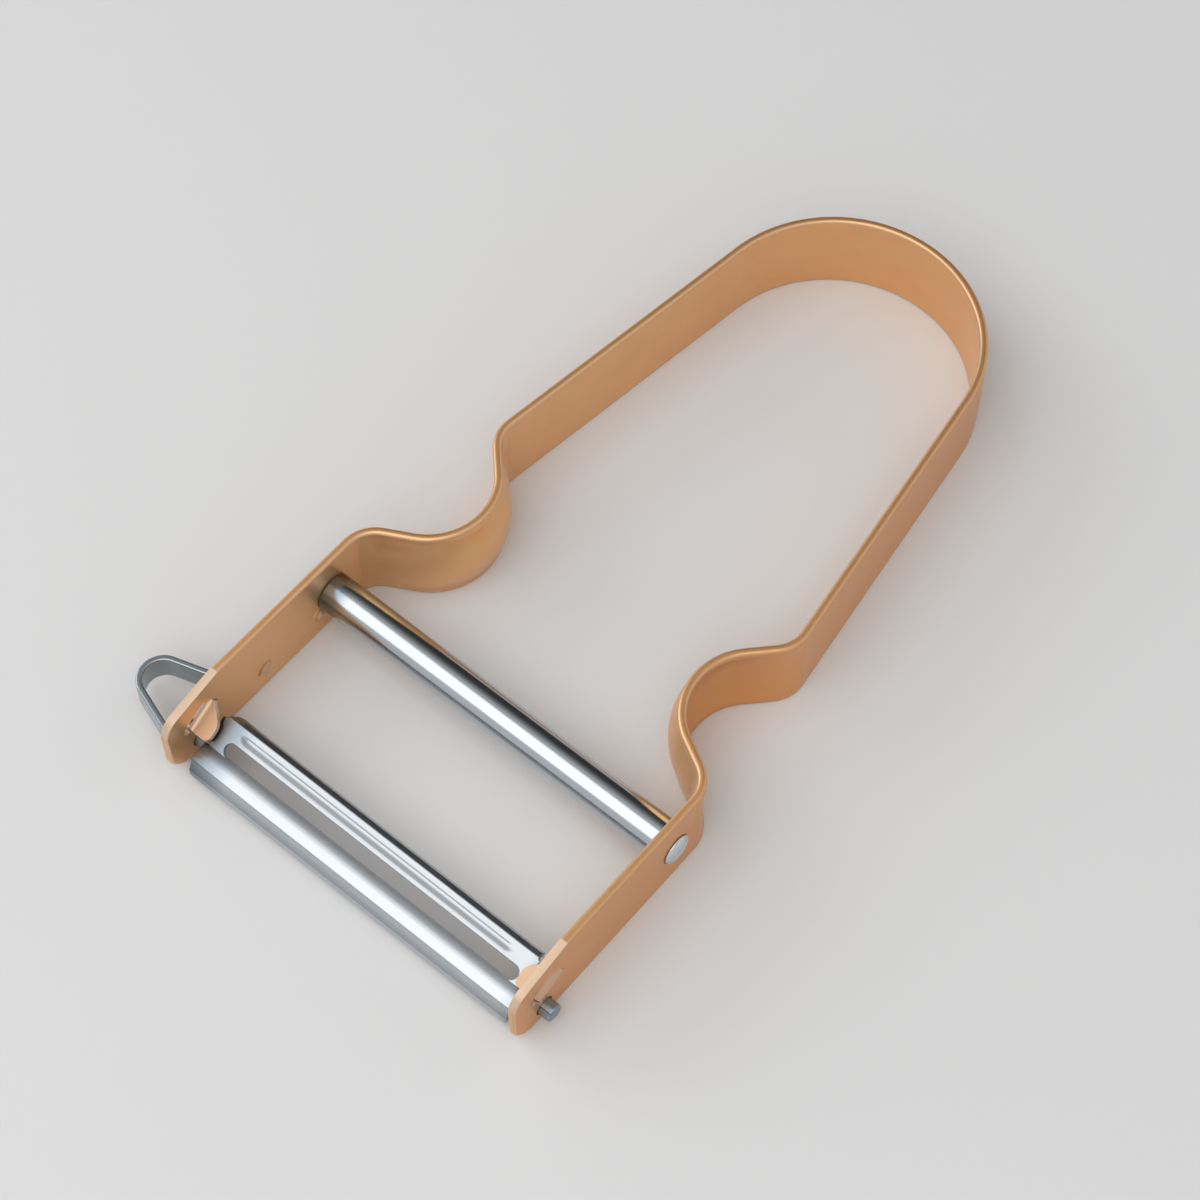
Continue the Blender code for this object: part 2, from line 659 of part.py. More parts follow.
def make_eye_loop(parts, helpers, datum, material):
    """The side loop: lug under the rivet head, long foot, and the loop with its free end."""
    middle_y = (LOOP_TOP_Y + LOOP_LOW_Y) / 2
    nose_x = LOOP_APEX_X + LOOP_NOSE_RADIUS
    corners = [
        (LOOP_FACE_X, BAR_Y, 0.0),
        (LOOP_FACE_X, LOOP_TOP_Y, LOOP_ROOT_RADIUS),
    ]
    nose = Vector((nose_x, middle_y))
    loop_end_x = -(OUTER_FACE_X + LOOP_END_GAP + LOOP_THICKNESS / 3)
    nose_points = []
    for sign, root_y in ((1, LOOP_TOP_Y), (-1, LOOP_LOW_Y)):
        root = Vector((LOOP_FACE_X if sign > 0 else loop_end_x, root_y))
        reach = nose - root
        lean = math.asin(LOOP_NOSE_RADIUS / reach.length)
        along = Matrix.Rotation(-sign * lean, 2) @ reach.normalized()
        nose_points.append(root + along * math.sqrt(reach.length ** 2 - LOOP_NOSE_RADIUS ** 2))
    start = math.atan2(nose_points[0].y - nose.y, nose_points[0].x - nose.x)
    end = math.atan2(nose_points[1].y - nose.y, nose_points[1].x - nose.x) + 2 * math.pi
    steps = 2 * math.ceil((end - start) / (2 * ROUND_STEP))
    arc = [nose + LOOP_NOSE_RADIUS * Vector((math.cos(start + (end - start) * k / steps),
                                            math.sin(start + (end - start) * k / steps)))
           for k in range(steps + 1)]
    upper = corner_path(corners + [(arc[0].x, arc[0].y, 0.0)])
    path = upper + arc[1:] + [Vector((loop_end_x, LOOP_LOW_Y))]
    heights = [LOOP_HEIGHT - LOOP_WIDTH / 2, LOOP_HEIGHT + LOOP_WIDTH / 2]

    def place(index, height):
        return Vector((path[index].x, path[index].y, height))

    loop = add_object("eye_loop", swept_surface(path, heights, place), parts, datum)
    thicken(loop, LOOP_THICKNESS)
    lug = cylinder_along_x("lug_form", LUG_RADIUS, LOOP_FACE_X - LOOP_THICKNESS / 2,
                           LOOP_FACE_X + LOOP_THICKNESS / 2, (BAR_Y, BAR_HEIGHT),
                           helpers, datum)
    boolean(loop, lug, "UNION")
    hole = cylinder_along_x("lug_hole_cutter", RIVET_RADIUS + FIT, 2 * LOOP_FACE_X, 0.0,
                            (BAR_Y, BAR_HEIGHT), helpers, datum)
    boolean(loop, hole, "DIFFERENCE")
    for index, y in enumerate(CLINCH_Y):
        stud = clinch_ball(f"clinch_stud_form_{index + 1}", CLINCH_RADIUS * CLINCH_BALL_RATIO,
                           CLINCH_RISE, -OUTER_FACE_X - FIT, y, helpers, datum)
        boolean(loop, stud, "UNION")
    finish_part(loop, "eye_loop", material)
    return loop


clear_scene()
part_collection = new_collection(PARTS_COLLECTION)
cutter_collection = new_collection(CUTTER_COLLECTION)
tip_end_y = min(spot.x for spot in leg_end_outline()[1:-3])
peeler_datum = bpy.data.objects.new("peeler_datum", None)
part_collection.objects.link(peeler_datum)
peeler_datum.location = (-(FOOTPRINT_LEFT + FOOTPRINT_RIGHT) / 2, -(tip_end_y + BOW_TOP_Y) / 2,
                         0.0)

copper_anodised = new_material("copper_anodised_aluminium", (0.52, 0.27, 0.13), 0.85, 0.42)
polished_steel = new_material("polished_steel", (0.62, 0.63, 0.64), 1.0, 0.18)
rivet_steel = new_material("rivet_steel", (0.50, 0.52, 0.54), 1.0, 0.30)
blade_steel = new_material("blade_steel", (0.66, 0.67, 0.68), 1.0, 0.22)
loop_steel = new_material("loop_steel", (0.36, 0.37, 0.38), 1.0, 0.36)

make_handle_frame(part_collection, cutter_collection, peeler_datum, copper_anodised)
make_crossbar(part_collection, cutter_collection, peeler_datum, polished_steel)
make_crossbar_rivet(part_collection, peeler_datum, rivet_steel)
make_blade(part_collection, cutter_collection, peeler_datum, blade_steel)
make_eye_loop(part_collection, cutter_collection, peeler_datum, loop_steel)
bpy.context.view_layer.update()
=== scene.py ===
import json
import math

import bmesh
import bpy
import numpy as np
from mathutils import Matrix, Vector
from mathutils.geometry import intersect_line_line


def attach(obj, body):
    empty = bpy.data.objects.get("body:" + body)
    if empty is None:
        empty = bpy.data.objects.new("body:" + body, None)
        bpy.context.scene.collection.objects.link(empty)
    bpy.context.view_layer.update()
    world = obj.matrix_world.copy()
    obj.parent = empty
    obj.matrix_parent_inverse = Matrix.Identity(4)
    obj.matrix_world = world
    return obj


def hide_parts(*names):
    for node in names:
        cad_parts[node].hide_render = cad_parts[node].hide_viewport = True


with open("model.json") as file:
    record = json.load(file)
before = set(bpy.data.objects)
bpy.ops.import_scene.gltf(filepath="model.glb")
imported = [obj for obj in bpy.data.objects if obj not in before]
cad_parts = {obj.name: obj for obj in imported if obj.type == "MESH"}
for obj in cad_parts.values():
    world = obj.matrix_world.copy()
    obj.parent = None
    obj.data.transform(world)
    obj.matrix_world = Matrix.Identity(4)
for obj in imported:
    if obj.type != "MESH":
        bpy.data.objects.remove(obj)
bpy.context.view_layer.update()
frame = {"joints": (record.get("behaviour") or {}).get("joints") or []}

# The strip handle
# One strip of aluminium, anodised a satin copper colour, is sheared to a taper at both ends and punched with
# its holes and stop ears while flat, which leaves bare cut edges. Their pale colour is bare metal and
# painted highlight together; the middles of the rolled edges and the stop ears are painted pale as painted
# highlight.
# Then it is bent into legs, hollows and a bow.
MM = 0.001
swivel = Vector(frame["joints"][0]["pos_m"])
STRIP_LENGTH_TO_TIP = 5.2 * MM
STRIP_WIDTH = 12.5 * MM
STRIP_THICKNESS = 1.1 * MM
LEG_HALF_SPAN = 26.6 * MM
INNER_FACE_X = LEG_HALF_SPAN - STRIP_THICKNESS / 2
OUTER_FACE_X = LEG_HALF_SPAN + STRIP_THICKNESS / 2
SHOULDER = Vector((23.1 * MM, 50.07 * MM))
BOW_CENTRE = Vector((0, 87.95 * MM))
BOW_RADIUS = 17.93 * MM
HOLLOW_START_Y = 29.57 * MM
HOLLOW_MARGIN = 1.5 * MM
HOLLOW_CROWN = 1.1 * MM
HOLLOW_FLAT_EDGE = 1.0 * MM
PLAIN_LEG = 30 * MM
LENGTHWISE = Vector((1, 0, 0))
CROSSWISE = Vector((0, 1, 0))
WELD = 0.0001 * MM


def arc(a, b, radius, start, sweep, steps):
    """Points along an arc about (a, b), both ends among them."""
    angles = [start + sweep * k / steps for k in range(steps + 1)]
    return [(a + radius * math.cos(angle), b + radius * math.sin(angle)) for angle in angles]


def ring(a, b, radius):
    """Points of a whole circle."""
    return arc(a, b, radius, 0, 2 * math.pi, 40)[:-1]


def rounded(corners, step=math.radians(6)):
    """Points of a closed outline through (a, b, radius) corners, each rounded by an arc."""
    points = []
    for index, (a, b, radius) in enumerate(corners):
        here = Vector((a, b))
        if radius == 0:
            points.append(here)
            continue
        back = (Vector(corners[index - 1][:2]) - here).normalized()
        ahead = (Vector(corners[(index + 1) % len(corners)][:2]) - here).normalized()
        half = back.angle(ahead) / 2
        centre = here + (back + ahead).normalized() * (radius / math.sin(half))
        start = here + back * (radius / math.tan(half)) - centre
        sweep = math.copysign(math.pi - 2 * half, start.cross(-back))
        steps = max(2, math.ceil(abs(sweep) / step))
        points += [centre + Matrix.Rotation(sweep * k / steps, 2) @ start for k in range(steps + 1)]
    return points


class BentLine:
    """A line of straight runs and round bends through (a, b, radius) corners, walked by its length."""

    def __init__(self, corners):
        at = Vector(corners[0][:2])
        rows = []
        self.bends = []
        length = 0.0
        for index in range(1, len(corners)):
            here = Vector(corners[index][:2])
            ahead = (here - at).normalized()
            heading = math.atan2(ahead.y, ahead.x)
            last = index == len(corners) - 1
            turn = 0.0
            cut = 0.0
            if not last:
                onward = (Vector(corners[index + 1][:2]) - here).normalized()
                turn = math.copysign(ahead.angle(onward), ahead.cross(onward))
                cut = corners[index][2] * math.tan(abs(turn) / 2)
            run = (here - at).length - cut
            rows.append((length, at.x, at.y, heading, 0.0))
            length += run
            at = at + ahead * run
            if not last:
                radius = corners[index][2]
                rows.append((length, at.x, at.y, heading, math.copysign(1 / radius, turn)))
                self.bends.append((length, radius * abs(turn), radius))
                length += radius * abs(turn)
                at = here + onward * cut
        self.rows = np.array(rows)
        self.length = length

    def at(self, s):
        """Both coordinates and the heading at each length s."""
        row = self.rows[np.searchsorted(self.rows[:, 0], s, side="right").clip(1) - 1]
        ahead = s - row[:, 0]
        turn = ahead * row[:, 4]
        chord = ahead * np.sinc(turn / 2 / math.pi)
        return (row[:, 1] + chord * np.cos(row[:, 3] + turn / 2),
                row[:, 2] + chord * np.sin(row[:, 3] + turn / 2), row[:, 3] + turn)

    def stations(self, step, longest):
        """Lengths at which the bends are cut into facets of this angle, none longer than the longest."""
        found = []
        for start, length, radius in self.bends:
            count = max(2, math.ceil(length / min(step * radius, longest)))
            found += [start + length * k / count for k in range(count + 1)]
        return found


def edged_blank(outlines, thickness, widest, share, steps=4):
    """A flat blank whose edges are rounded by a share of the widest rounding, given for each place.

    Its vertices keep how pale they are painted: wholly on crisp sheared edges, as bare metal and painted
    highlight, and nearly wholly along the middle of rolled ones, as a painted highlight line.
    """
    # Paleness of the painted highlight line along the middle of each rolled edge.
    crest_painted_highlight = 0.95
    shape = bmesh.new()
    sheared = shape.verts.layers.float.new("sheared")
    faces = ([], [])
    for index, outline in enumerate(outlines):
        points = np.array(outline)
        ahead = np.roll(points, -1, axis=0)
        turns_left = np.sum(points[:, 0] * ahead[:, 1] - points[:, 1] * ahead[:, 0]) > 0
        if turns_left == (index > 0):
            points = points[::-1]
        run = np.roll(points, -1, axis=0) - points
        run /= np.linalg.norm(run, axis=1, keepdims=True)
        left = np.stack([-run[:, 1], run[:, 0]], axis=1)
        before = np.roll(left, 1, axis=0)
        inwards = (left + before) / (1 + np.sum(left * before, axis=1, keepdims=True))
        radii = np.array([widest * share(Vector(point)) for point in points])
        rows = []
        for top in (-1, 1):
            for k in range(steps + 1)[::top]:
                turn = math.pi / 2 * k / steps
                inset = points + inwards * (radii * (1 - math.cos(turn)))[:, None]
                height = top * (thickness / 2 - radii * (1 - math.sin(turn)))
                row = [shape.verts.new((*place, level)) for place, level in zip(inset, height)]
                # The middle row of a rolled edge is painted pale as a highlight line; crisp sheared edges
                # are painted pale all over.
                rolled = crest_painted_highlight if k == steps // 2 else 0.0
                for vert, radius in zip(row, radii):
                    vert[sheared] = 1.0 if radius < widest / 2 and k < steps else rolled
                rows.append(row)
        for low, high in zip(rows, rows[1:]):
            for k in range(len(low)):
                shape.faces.new((low[k - 1], low[k], high[k], high[k - 1]))
        for found, row in zip(faces, (rows[0], rows[-1])):
            found += [shape.edges.get((row[k - 1], row[k])) for k in range(len(row))]
    for found in faces:
        bmesh.ops.triangle_fill(shape, use_beauty=True, use_dissolve=False, edges=found)
    return shape


def score(shape, direction, places, inside=None):
    """Cuts the faces across at these distances along a direction, so that they can bend there."""
    for place in places:
        if inside is None:
            found = shape.verts[:] + shape.edges[:] + shape.faces[:]
        else:
            faces = [face for face in shape.faces if inside(face.calc_center_median())]
            verts = dict.fromkeys(vert for face in faces for vert in face.verts)
            edges = dict.fromkeys(edge for face in faces for edge in face.edges)
            found = [*verts, *edges, *faces]
        bmesh.ops.bisect_plane(shape, geom=found, dist=WELD, plane_co=direction * place,
                               plane_no=direction)


def led_normals(shape):
    """A normal for each vertex, led by the widest flat face beside it, so that flats stay flat."""
    shape.faces.ensure_lookup_table()
    keys = []
    widths = {}
    for face in shape.faces:
        face.normal_update()
        n = face.normal
        level = n.dot(face.verts[0].co)
        key = (round(n.x, 3), round(n.y, 3), round(n.z, 3), round(level * 1e5))
        keys.append(key)
        widths[key] = widths.get(key, 0.0) + face.calc_area()
    normals = np.zeros((len(shape.verts), 3))
    for face, key in zip(shape.faces, keys):
        pull = np.array(face.normal) * widths[key] ** 2
        for loop in face.loops:
            normals[loop.vert.index] += pull * loop.calc_angle()
    lengths = np.linalg.norm(normals, axis=1, keepdims=True)
    return normals / np.where(lengths > 0, lengths, 1)


def formed(name, shape, bend):
    """The flat shape bent by a function of points, as an object with true normals and its flat places."""
    bmesh.ops.recalc_face_normals(shape, faces=shape.faces)
    shape.verts.index_update()
    flat = np.array([v.co for v in shape.verts])
    normals = led_normals(shape)
    nudge = 0.002 * MM
    columns = []
    for axis in np.eye(3) * nudge:
        columns.append((bend(flat + axis) - bend(flat - axis)) / (2 * nudge))
    stretch = np.stack(columns, axis=2)
    turned = np.einsum("nij,nj->ni", np.linalg.inv(stretch).transpose(0, 2, 1), normals)
    turned /= np.linalg.norm(turned, axis=1, keepdims=True)
    mesh = bpy.data.meshes.new(name)
    shape.to_mesh(mesh)
    shape.free()
    mesh.vertices.foreach_set("co", bend(flat).astype(np.float32).ravel())
    place = mesh.attributes.new("flat_place", "FLOAT_VECTOR", "POINT")
    place.data.foreach_set("vector", (flat / MM).astype(np.float32).ravel())
    mesh.update()
    mesh.shade_smooth()
    mesh.normals_split_custom_set_from_vertices(turned.tolist())
    made = bpy.data.objects.new(name, mesh)
    bpy.context.scene.collection.objects.link(made)
    return made


def tangent_corner(first, second, centre, radius):
    """Where the two lines that leave these points and touch the circle would meet."""
    ends = []
    for root, sign in ((first, -1), (second, 1)):
        reach = centre - root
        lean = math.asin(radius / reach.length)
        ends += [root.to_3d(), (root + Matrix.Rotation(sign * lean, 2) @ reach).to_3d()]
    return intersect_line_line(*ends)[0].to_2d()


leg_corners = [
    (-LEG_HALF_SPAN, -STRIP_LENGTH_TO_TIP, 0),
    (-LEG_HALF_SPAN, HOLLOW_START_Y, 4.5 * MM),
    (-11.4 * MM, 37.79 * MM, 8.4 * MM),
    (-SHOULDER.x, SHOULDER.y, 4.5 * MM),
]
bow_corner = tangent_corner(SHOULDER, Vector((-SHOULDER.x, SHOULDER.y)), BOW_CENTRE, BOW_RADIUS)
handle_line = BentLine(leg_corners + [(*bow_corner, BOW_RADIUS)]
                       + [(-a, b, radius) for a, b, radius in reversed(leg_corners)])

# Ears and windows, in the blade's tilted plane: U runs from the lip to the back, W stands up from it
TILT = math.radians(30)
EAR_THICKNESS = 0.8 * MM
EAR_TOP_W = 3.35 * MM
EAR_BEND_RADIUS = 1.4 * MM
EAR_FOLD_W = EAR_TOP_W - EAR_BEND_RADIUS
EAR_REACH = 2.45 * MM
EAR_ARC = EAR_BEND_RADIUS * math.pi / 2
EAR_LENGTH = EAR_ARC + OUTER_FACE_X - EAR_BEND_RADIUS - INNER_FACE_X + EAR_REACH
EAR_FLAT_LENGTH = 3.05 * MM
EAR_STRETCH = EAR_LENGTH / EAR_FLAT_LENGTH
EAR_LOW_U = 0.5 * MM
EAR_HIGH_U = 5.05 * MM
EAR_NOSE_U = 2.9 * MM
EAR_MIDDLE_Y = 1.0 * MM
EAR_HALF_ZONE = 6.0 * MM
# How pale the stop ears are painted, as a painted highlight.
EAR_PAINTED_HIGHLIGHT = 0.8
WINDOW_TOP_W = EAR_FOLD_W + EAR_FLAT_LENGTH + 0.15 * MM
RELIEF_W = EAR_TOP_W + 0.9 * MM
RELIEF_RADIUS = 0.65 * MM
SLIT = 0.08 * MM


def tilted(u, w):
    """Distance up the leg and height of a point of the blade's tilted plane."""
    return (u * math.cos(TILT) - w * math.sin(TILT),
            swivel.z + u * math.sin(TILT) + w * math.cos(TILT))


def untilted(y, z):
    """U and W of a point given by its distance up the leg and its height."""
    return (y * math.cos(TILT) + (z - swivel.z) * math.sin(TILT),
            (z - swivel.z) * math.cos(TILT) - y * math.sin(TILT))


def on_leg(side, y):
    """Length along the strip at a distance up the left (-1) or right (1) leg."""
    return y + STRIP_LENGTH_TO_TIP if side < 0 else handle_line.length - y - STRIP_LENGTH_TO_TIP


def ear_slot(side):
    """The slot punched round an ear while the strip is flat, with the round relief at its low side."""
    meets_slit = math.acos(-SLIT / RELIEF_RADIUS)
    relief = arc(EAR_LOW_U, RELIEF_W, RELIEF_RADIUS, -meets_slit, -2 * (math.pi - meets_slit), 16)
    outline = [
        (EAR_LOW_U - SLIT, EAR_FOLD_W),
        *relief,
        (EAR_LOW_U - SLIT, WINDOW_TOP_W),
        (4.1 * MM, WINDOW_TOP_W),
        (EAR_HIGH_U + SLIT, 3.5 * MM),
        (EAR_HIGH_U + SLIT, EAR_FOLD_W),
        (EAR_HIGH_U, EAR_FOLD_W),
    ]
    nose = rounded([
        (EAR_HIGH_U, 0, 0),
        (EAR_HIGH_U, EAR_ARC - 0.1 * MM, 0.2 * MM),
        (EAR_NOSE_U, EAR_LENGTH, 1.8 * MM),
        (EAR_LOW_U, EAR_LENGTH, 0.8 * MM),
        (EAR_LOW_U, 0, 0),
    ])
    outline += [(u, EAR_FOLD_W + a / EAR_STRETCH) for u, a in nose[1:]]
    return [(on_leg(side, y), z) for y, z in (tilted(u, w) for u, w in outline)]


TAPER_Y = 4.2 * MM


def leg_end(side):
    """The sheared outline of a leg's end, from the top edge down the taper and round the toe."""
    cut = rounded([
        (TAPER_Y, -9 * MM, 0),
        (TAPER_Y, STRIP_WIDTH, 0),
        (-STRIP_LENGTH_TO_TIP + 0.15 * MM, 10.3 * MM, 3.1 * MM),
        (-STRIP_LENGTH_TO_TIP + 0.2 * MM, 0, 3.4 * MM),
        (TAPER_Y, 0, 0),
    ])[1:]
    top_edge = [(TAPER_Y + 0.2 * MM, STRIP_WIDTH), (TAPER_Y + 0.05 * MM, STRIP_WIDTH)]
    return [(on_leg(side, y), z) for y, z in top_edge + cut]


PIVOT_HOLE_RADIUS = 1.32 * MM
RIVET_HOLE_RADIUS = 1.7 * MM
BAR_Y = 23.23 * MM
BAR_Z = STRIP_WIDTH / 2
CLINCH_YS = (10.9 * MM, 20.8 * MM)
CLINCH_Z = 4.03 * MM
CLINCH_RADIUS = 1.25 * MM
CLINCH_RISE = 0.55 * MM
EDGE_ROUNDING = 0.43 * MM
HOLE_SHARE = 0.12
CRISP_SHARE = 0.14
TOE_FADE_TOP = 10.6 * MM
TOE_FADE = 3.8 * MM
cuts = [leg_end(-1) + leg_end(1)[::-1]]
for side in (-1, 1):
    cuts += [ear_slot(side), ring(on_leg(side, 0), swivel.z, PIVOT_HOLE_RADIUS),
             ring(on_leg(side, BAR_Y), BAR_Z, RIVET_HOLE_RADIUS)]


def edge_share(p):
    """How far an edge is rounded: wholly where rolled, hardly on tapers and holes, more down the toes."""
    y = min(p.x, handle_line.length - p.x) - STRIP_LENGTH_TO_TIP
    on_hole = (math.hypot(y, p.y - swivel.z) < PIVOT_HOLE_RADIUS + SLIT
               or math.hypot(y - BAR_Y, p.y - BAR_Z) < RIVET_HOLE_RADIUS + SLIT)
    u, w = untilted(y, p.y)
    on_window = (EAR_LOW_U - 2 * RELIEF_RADIUS < u < EAR_HIGH_U + 3 * SLIT
                 and EAR_FOLD_W - SLIT < w < WINDOW_TOP_W + 4 * SLIT)
    if on_hole or on_window:
        return HOLE_SHARE
    if y > TAPER_Y or p.y < STRIP_WIDTH / 2:
        return 1.0
    return min(1.0, max(CRISP_SHARE, (TOE_FADE_TOP - p.y) / TOE_FADE))


def score_clinch(shape, s, radius):
    """Cuts the square round a clinch, and then finely inside it, so that a dome can be pressed there."""
    reach = 1.2 * radius
    score(shape, LENGTHWISE, [s - reach, s + reach])
    score(shape, CROSSWISE, [CLINCH_Z - reach, CLINCH_Z + reach], lambda p: abs(p.x - s) < reach)
    for k in range(-6, 7):
        for direction, middle in ((LENGTHWISE, s), (CROSSWISE, CLINCH_Z)):
            score(shape, direction, [middle + radius * k / 6],
                  lambda p: abs(p.x - s) < reach and abs(p.y - CLINCH_Z) < reach)


strip = edged_blank(cuts, STRIP_THICKNESS, EDGE_ROUNDING, edge_share)
score(strip, LENGTHWISE, handle_line.stations(math.radians(3), 0.6 * MM))
score(strip, LENGTHWISE, [on_leg(side, TAPER_Y + past * MM)
                          for side in (-1, 1) for past in (-0.3, -0.1, 0.3, 0.5)])
score(strip, CROSSWISE, [STRIP_WIDTH * k / 10 for k in range(1, 10)],
      lambda p: PLAIN_LEG < p.x < handle_line.length - PLAIN_LEG)
for clinch_y in CLINCH_YS:
    score_clinch(strip, on_leg(-1, clinch_y), CLINCH_RADIUS)
for side in (-1, 1):
    up = Vector(tilted(0, 1)) - Vector(tilted(0, 0))
    direction = Vector((up.x * -side, up.y, 0))
    base = Vector((on_leg(side, 0), swivel.z, 0)).dot(direction)
    score(strip, direction, [base + EAR_FOLD_W + EAR_ARC / EAR_STRETCH * k / 10 for k in range(11)],
          lambda p: abs(p.x - on_leg(side, EAR_MIDDLE_Y)) < EAR_HALF_ZONE)


def leg_places(flat):
    """Side, and U and W in the blade's tilted plane, of points of the flat strip."""
    side = np.where(flat[:, 0] < handle_line.length / 2, -1, 1)
    y = np.where(side < 0, flat[:, 0], handle_line.length - flat[:, 0]) - STRIP_LENGTH_TO_TIP
    return side, *untilted(y, flat[:, 1])


def on_ear(flat):
    """Which points of the flat strip belong to an ear."""
    side, u, w = leg_places(flat)
    a = (w - EAR_FOLD_W) * EAR_STRETCH
    slope = (u - EAR_HIGH_U) + (a - EAR_ARC) * (EAR_HIGH_U - EAR_NOSE_U) / (EAR_LENGTH - EAR_ARC)
    return ((u > EAR_LOW_U - SLIT / 2) & (u < EAR_HIGH_U + SLIT / 2) & (w > EAR_FOLD_W)
            & (a < EAR_LENGTH + SLIT / 2) & (slope < 0.15 * MM))


strip.verts.index_update()
ear_points = on_ear(np.array([v.co for v in strip.verts]))


def dome(along, up):
    """Rise of a clinched dome at a distance from its middle, as a share of its full rise."""
    reach = np.clip((along ** 2 + up ** 2) / CLINCH_RADIUS ** 2, 0, 1)
    return (1 - reach ** 1.2) ** 1.6


def bend_handle(flat):
    """Bends points of the flat strip to the legs, hollows, bow and ears. Thickness runs inwards."""
    s, z, t = flat.T
    x, y, heading = handle_line.at(s)
    low = HOLLOW_START_Y - HOLLOW_MARGIN
    high = SHOULDER.y + HOLLOW_MARGIN
    share = np.clip((y - low) / (high - low), 0, 1)
    across = np.clip(np.abs(z - STRIP_WIDTH / 2) / (STRIP_WIDTH / 2 - HOLLOW_FLAT_EDGE), 0, 1)
    rise = HOLLOW_CROWN * np.sin(math.pi * share) ** 0.7 * (1 - across ** 2)
    for clinch_y in CLINCH_YS:
        rise = rise + CLINCH_RISE * dome(s - on_leg(-1, clinch_y), z - CLINCH_Z)
    bent = np.stack([x + np.sin(heading) * (t + rise), y - np.cos(heading) * (t + rise), z], axis=1)
    side, u, w = leg_places(flat)
    a = (w - EAR_FOLD_W) * EAR_STRETCH
    turn = np.clip(a, 0, EAR_ARC) / EAR_BEND_RADIUS
    depth = (t + STRIP_THICKNESS / 2) * (1 + (EAR_THICKNESS / STRIP_THICKNESS - 1) * turn / (math.pi / 2))
    out = (OUTER_FACE_X - EAR_BEND_RADIUS * (1 - np.cos(turn)) - depth * np.cos(turn)
           - np.clip(a - EAR_ARC, 0, None))
    up = EAR_FOLD_W + EAR_BEND_RADIUS * np.sin(turn) - depth * np.sin(turn)
    ear = np.stack([side * out, *tilted(u, up)], axis=1)
    bent = np.where(ear_points[:, None], ear, bent)
    return bent + np.array((swivel.x, swivel.y, 0))


handle = formed("strip_handle", strip, bend_handle)
# Painted highlight: the stop ears are painted pale over their faces, on top of the pale edges.
bare_edges_and_painted_highlights = handle.data.attributes["sheared"].data
bare = np.zeros(len(bare_edges_and_painted_highlights), dtype=np.float32)
bare_edges_and_painted_highlights.foreach_get("value", bare)
bare_edges_and_painted_highlights.foreach_set("value", np.maximum(bare, np.where(ear_points, EAR_PAINTED_HIGHLIGHT, 0)).astype(np.float32))


class Wire:
    """A socket of a finish, so that shader maths reads as sums."""

    def __init__(self, finish, socket):
        self.finish = finish
        self.socket = socket

    def maths(self, operation, first, second):
        return self.finish.node("ShaderNodeMath", {"operation": operation}, {0: first, 1: second})

    def __add__(self, other):
        return self.maths("ADD", self, other)

    __radd__ = __add__

    def __sub__(self, other):
        return self.maths("SUBTRACT", self, other)

    def __rsub__(self, other):
        return self.maths("SUBTRACT", other, self)

    def __mul__(self, other):
        return self.maths("MULTIPLY", self, other)

    __rmul__ = __mul__


class Finish:
    """A node material: its shader, and one method that adds any other node."""

    def __init__(self, name, **settings):
        self.material = bpy.data.materials.new(name)
        self.material.use_nodes = True
        self.tree = self.material.node_tree
        self.shader = self.tree.nodes["Principled BSDF"]
        self.paint(**settings)

    def node(self, kind, settings, sockets, output=0):
        made = self.tree.nodes.new(kind)
        for key, value in settings.items():
            if key == "stops":
                ramp = made.color_ramp
                while len(ramp.elements) < len(value):
                    ramp.elements.new(1)
                for element, (position, colour) in zip(ramp.elements, value):
                    element.position = position
                    element.color = (*colour, 1)
            else:
                setattr(made, key, value)
        for key, value in sockets.items():
            self.feed(made, key, value)
        return Wire(self, [o for o in made.outputs if o.enabled][output])

    def feed(self, node, key, value):
        usable = [socket for socket in node.inputs if socket.enabled]
        socket = usable[key] if isinstance(key, int) else next(s for s in usable if s.name == key)
        if isinstance(value, Wire):
            self.tree.links.new(value.socket, socket)
        else:
            socket.default_value = value

    def paint(self, **sockets):
        """Values or links for the shader's own sockets."""
        for socket, value in sockets.items():
            self.feed(self.shader, socket.replace("_", " ").title(), value)

    def mix(self, factor, first, second, blend="MIX"):
        return self.node("ShaderNodeMix", {"data_type": "RGBA", "blend_type": blend},
                         {"Factor": factor, "A": first, "B": second})

    def ramp(self, factor, *stops):
        return self.node("ShaderNodeValToRGB", {"stops": stops}, {"Fac": factor})

    def flat_place(self):
        """Where on its flat sheet a point lies, in millimetres."""
        return self.node("ShaderNodeAttribute", {"attribute_name": "flat_place"}, {}, 1)

    def axis(self, place, index):
        return self.node("ShaderNodeSeparateXYZ", {}, {"Vector": place}, index)

    def noise(self, place, scale, detail):
        return self.node("ShaderNodeTexNoise", {}, {"Vector": place, "Scale": scale, "Detail": detail})

    def grain(self, place, scales, detail):
        """Noise drawn out along the metal by a scale for each axis."""
        stretched = self.node("ShaderNodeMapping", {}, {"Vector": place, "Scale": scales})
        return self.noise(stretched, 1.0, detail)

    def relief(self, height, strength, distance):
        return self.node("ShaderNodeBump", {}, {"Height": height, "Strength": strength,
                                                "Distance": distance})


def tint(red, green, blue):
    """A colour read as screen values from 0 to 255, as the linear colour that nodes take."""
    return tuple(((c / 255 + 0.055) / 1.055) ** 2.4 if c > 10 else c / 255 / 12.92
                 for c in (red, green, blue)) + (1,)


